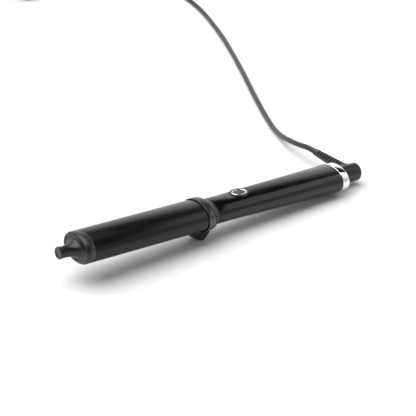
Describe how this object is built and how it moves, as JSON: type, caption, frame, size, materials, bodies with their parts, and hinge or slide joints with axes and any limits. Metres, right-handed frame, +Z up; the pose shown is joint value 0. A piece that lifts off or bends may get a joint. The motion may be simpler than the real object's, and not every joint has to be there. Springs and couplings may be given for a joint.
{
  "type": "curling wand",
  "caption": "Curling wand with an oval hot barrel, cool tip, safety stand, oval handle with a push button, and a mains cord on a free swivel that ends in a tied coil and a plug.",
  "frame": {"origin": "centre of the safety stand's foot, on the surface that the wand lies on", "axes": "+X runs from the cool tip to the cord end along the surface, +Z is up, and the cord lies on the +Y side"},
  "size_m": [0.5323, 0.6799, 0.0435],
  "materials": {
    "black_gloss": "gloss",
    "black_satin": "satin",
    "grey_satin": "satin",
    "barrel_coat": "gloss",
    "chrome_trim": "polished",
    "aluminium": "satin",
    "steel": "satin",
    "brass": "satin",
    "ceramic": "matte",
    "board": "satin",
    "component": "matte",
    "cord_sheath": "satin",
    "insulation": "satin"
  },
  "bodies": {
    "wand": {"tip_nose": "black_satin", "tip_rim": "black_satin", "tip_band": "grey_satin", "tip_bridge": "component", "tip_screw": "steel", "tip_cap": "black_satin", "barrel": "barrel_coat", "heat_spreader_upper": "aluminium", "heat_spreader_lower": "aluminium", "heater_plate": "ceramic", "spreader_spring_left": "steel", "spreader_spring_right": "steel", "temperature_sensor": "component", "thermal_fuse": "steel", "barrel_collar": "grey_satin", "neck_flange": "black_satin", "core_carrier": "component", "safety_stand": "black_satin", "handle_upper_shell": "black_gloss", "handle_lower_shell": "black_gloss", "button_bezel": "black_satin", "button_ring": "chrome_trim", "tact_switch": "component", "circuit_board": "board", "capacitor": "insulation", "triac": "component", "control_chip": "component", "buzzer": "component", "board_screw_front": "steel", "board_screw_rear": "steel", "rear_ring": "chrome_trim", "end_cap": "black_satin", "brush_block": "component", "brush_live": "component", "brush_neutral": "component", "heater_lead_live": "insulation", "heater_lead_neutral": "insulation", "mains_lead_live": "insulation", "mains_lead_neutral": "insulation"},
    "power_button": {"button_cap": "black_gloss", "switch_plunger": "component"},
    "cord_swivel": {"swivel_knob": "black_satin", "swivel_clip": "steel", "slip_ring_live": "brass", "slip_ring_neutral": "brass", "strain_relief": "cord_sheath", "cord": "cord_sheath", "cord_tail": "cord_sheath", "cord_coil": "cord_sheath", "coil_tie": "component", "plug_body": "cord_sheath", "plug_blade_left": "brass", "plug_blade_right": "brass"}
  },
  "joints": [
    {"name": "power_button_press", "type": "slide", "parent": "wand", "child": "power_button", "axis": [-0.0635, 0, -0.998], "range_m": [0, 0.0008], "stiffness_N_per_m": 1500, "springref_m": -0.0003},
    {"name": "cord_swivel_turn", "type": "hinge", "parent": "wand", "child": "cord_swivel", "pos_m": [0.16091, 0, 0.01241], "axis": [0.998, 0, -0.0635], "continuous": true}
  ]
}
